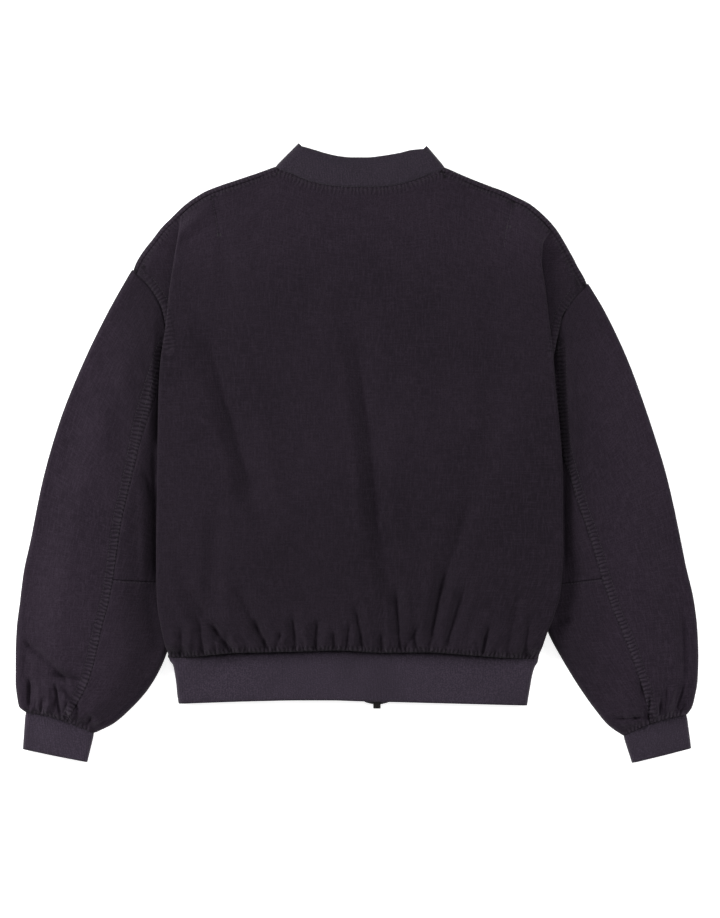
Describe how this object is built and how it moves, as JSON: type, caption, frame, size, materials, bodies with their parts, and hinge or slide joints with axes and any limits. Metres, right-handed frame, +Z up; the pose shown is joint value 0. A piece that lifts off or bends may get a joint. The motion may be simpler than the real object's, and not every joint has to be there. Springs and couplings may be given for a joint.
{
  "type": "bomber jacket",
  "caption": "Front-zip bomber jacket with rib-knit collar, cuffs and hem, lying flat on its front with the back panel up.",
  "frame": {"origin": "centre of the bounding box in plan, on the surface that the jacket lies on", "axes": "+X across the jacket towards the wearer's right sleeve, +Y from the hem towards the collar, +Z up, out of the back panel"},
  "size_m": [0.782, 0.71, 0.026],
  "materials": {
    "cloth": "washed matt cotton",
    "rib_knit": "matt rib knit",
    "zip_tape": "matt woven tape",
    "zip_metal": "dark satin metal"
  },
  "bodies": {
    "jacket": {"back": "cloth", "front_left": "cloth", "front_right": "cloth", "sleeve_left_main": "cloth", "sleeve_left_under_upper": "cloth", "sleeve_left_under_lower": "cloth", "sleeve_right_main": "cloth", "sleeve_right_under_upper": "cloth", "sleeve_right_under_lower": "cloth", "collar_rib": "rib_knit", "hem_rib": "rib_knit", "cuff_left": "rib_knit", "cuff_right": "rib_knit", "zip_tape_left": "zip_tape", "zip_tape_right": "zip_tape", "zip_slider": "zip_metal", "zip_box": "zip_metal"},
    "zip_pull": {"zip_pull": "zip_metal"}
  },
  "joints": [
    {"name": "zip_pull_swing", "type": "hinge", "parent": "jacket", "child": "zip_pull", "pos_m": [0.00828, 0.238, 0.0017], "axis": [1, 0, 0], "range_deg": [0, 160]}
  ]
}
